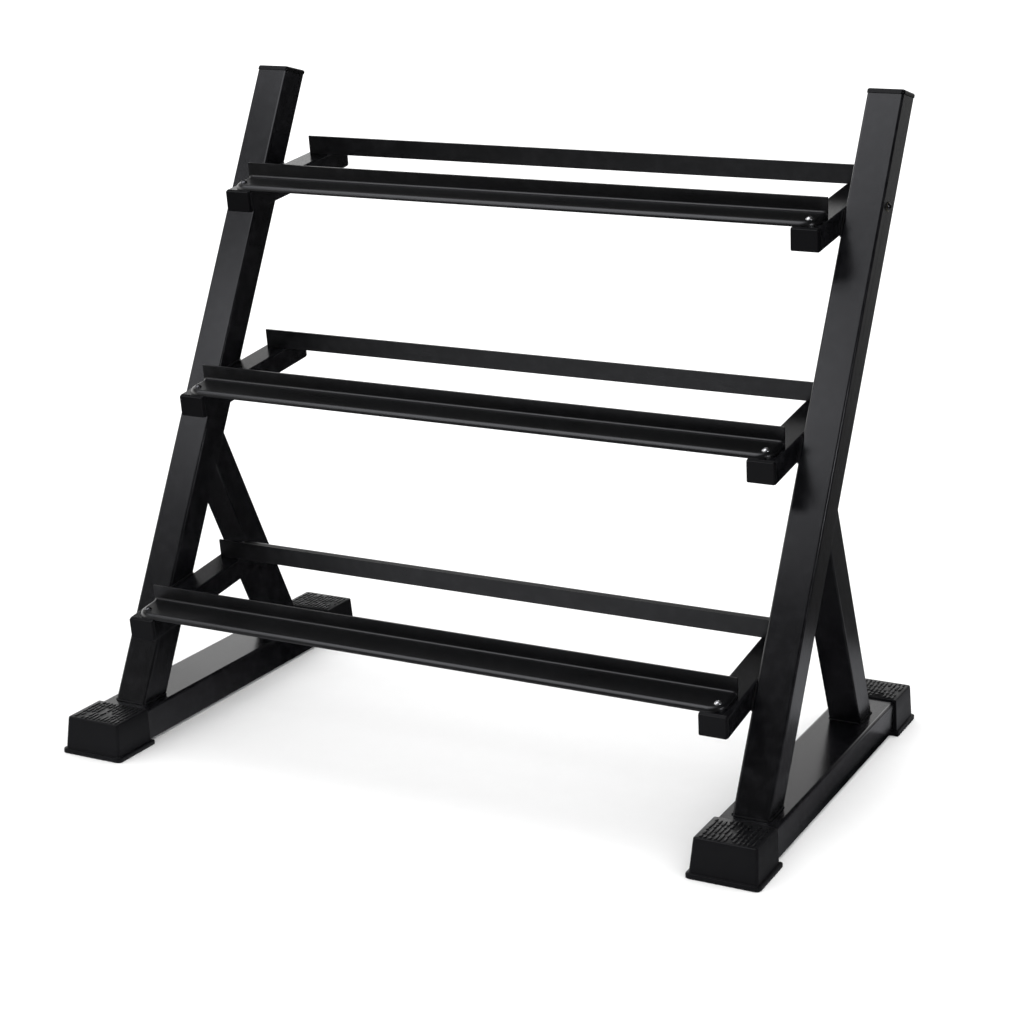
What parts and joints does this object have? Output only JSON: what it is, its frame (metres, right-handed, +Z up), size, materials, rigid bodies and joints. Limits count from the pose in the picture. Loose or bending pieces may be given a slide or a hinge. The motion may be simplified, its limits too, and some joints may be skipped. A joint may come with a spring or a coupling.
{
  "type": "dumbbell rack",
  "caption": "Free-standing three-tier steel dumbbell rack with two leaning side frames, paired shelf rails and rubber end feet.",
  "frame": {"origin": "on the floor, in the middle of the rack's width and depth", "axes": "+X along the shelves to the right-hand side frame as seen from the front, +Y to the back, +Z up; the lip of each front rail faces -Y"},
  "size_m": [1.05, 0.665, 0.9221],
  "materials": {
    "frame_paint": "satin",
    "rail_paint": "satin",
    "weld_paint": "satin",
    "cap_plastic": "matte",
    "foot_rubber": "matte",
    "bolt_zinc": "zinc plated",
    "bolt_black": "black oxide",
    "insert_steel": "zinc plated"
  },
  "bodies": {
    "root": {"arm_cap_bottom_left_front": "cap_plastic", "arm_cap_bottom_left_rear": "cap_plastic", "arm_cap_bottom_right_front": "cap_plastic", "arm_cap_bottom_right_rear": "cap_plastic", "arm_cap_middle_left_front": "cap_plastic", "arm_cap_middle_left_rear": "cap_plastic", "arm_cap_middle_right_front": "cap_plastic", "arm_cap_middle_right_rear": "cap_plastic", "arm_cap_top_left_front": "cap_plastic", "arm_cap_top_left_rear": "cap_plastic", "arm_cap_top_right_front": "cap_plastic", "arm_cap_top_right_rear": "cap_plastic", "base_tube_left": "frame_paint", "base_tube_right": "frame_paint", "rail_bolts_left": "bolt_black", "rail_bolts_right": "bolt_zinc", "rail_inserts_left": "insert_steel", "rail_inserts_right": "insert_steel", "rear_brace_left": "frame_paint", "rear_brace_right": "frame_paint", "rubber_foot_front_left": "foot_rubber", "rubber_foot_front_right": "foot_rubber", "rubber_foot_rear_left": "foot_rubber", "rubber_foot_rear_right": "foot_rubber", "shelf_arm_bottom_left": "frame_paint", "shelf_arm_bottom_right": "frame_paint", "shelf_arm_middle_left": "frame_paint", "shelf_arm_middle_right": "frame_paint", "shelf_arm_top_left": "frame_paint", "shelf_arm_top_right": "frame_paint", "shelf_rail_bottom_front": "rail_paint", "shelf_rail_bottom_rear": "rail_paint", "shelf_rail_middle_front": "rail_paint", "shelf_rail_middle_rear": "rail_paint", "shelf_rail_top_front": "rail_paint", "shelf_rail_top_rear": "rail_paint", "side_screw_inserts": "insert_steel", "side_screws": "bolt_black", "upright_cap_left": "cap_plastic", "upright_cap_right": "cap_plastic", "upright_left": "frame_paint", "upright_right": "frame_paint", "weld_beads_left": "weld_paint", "weld_beads_right": "weld_paint"}
  },
  "joints": []
}
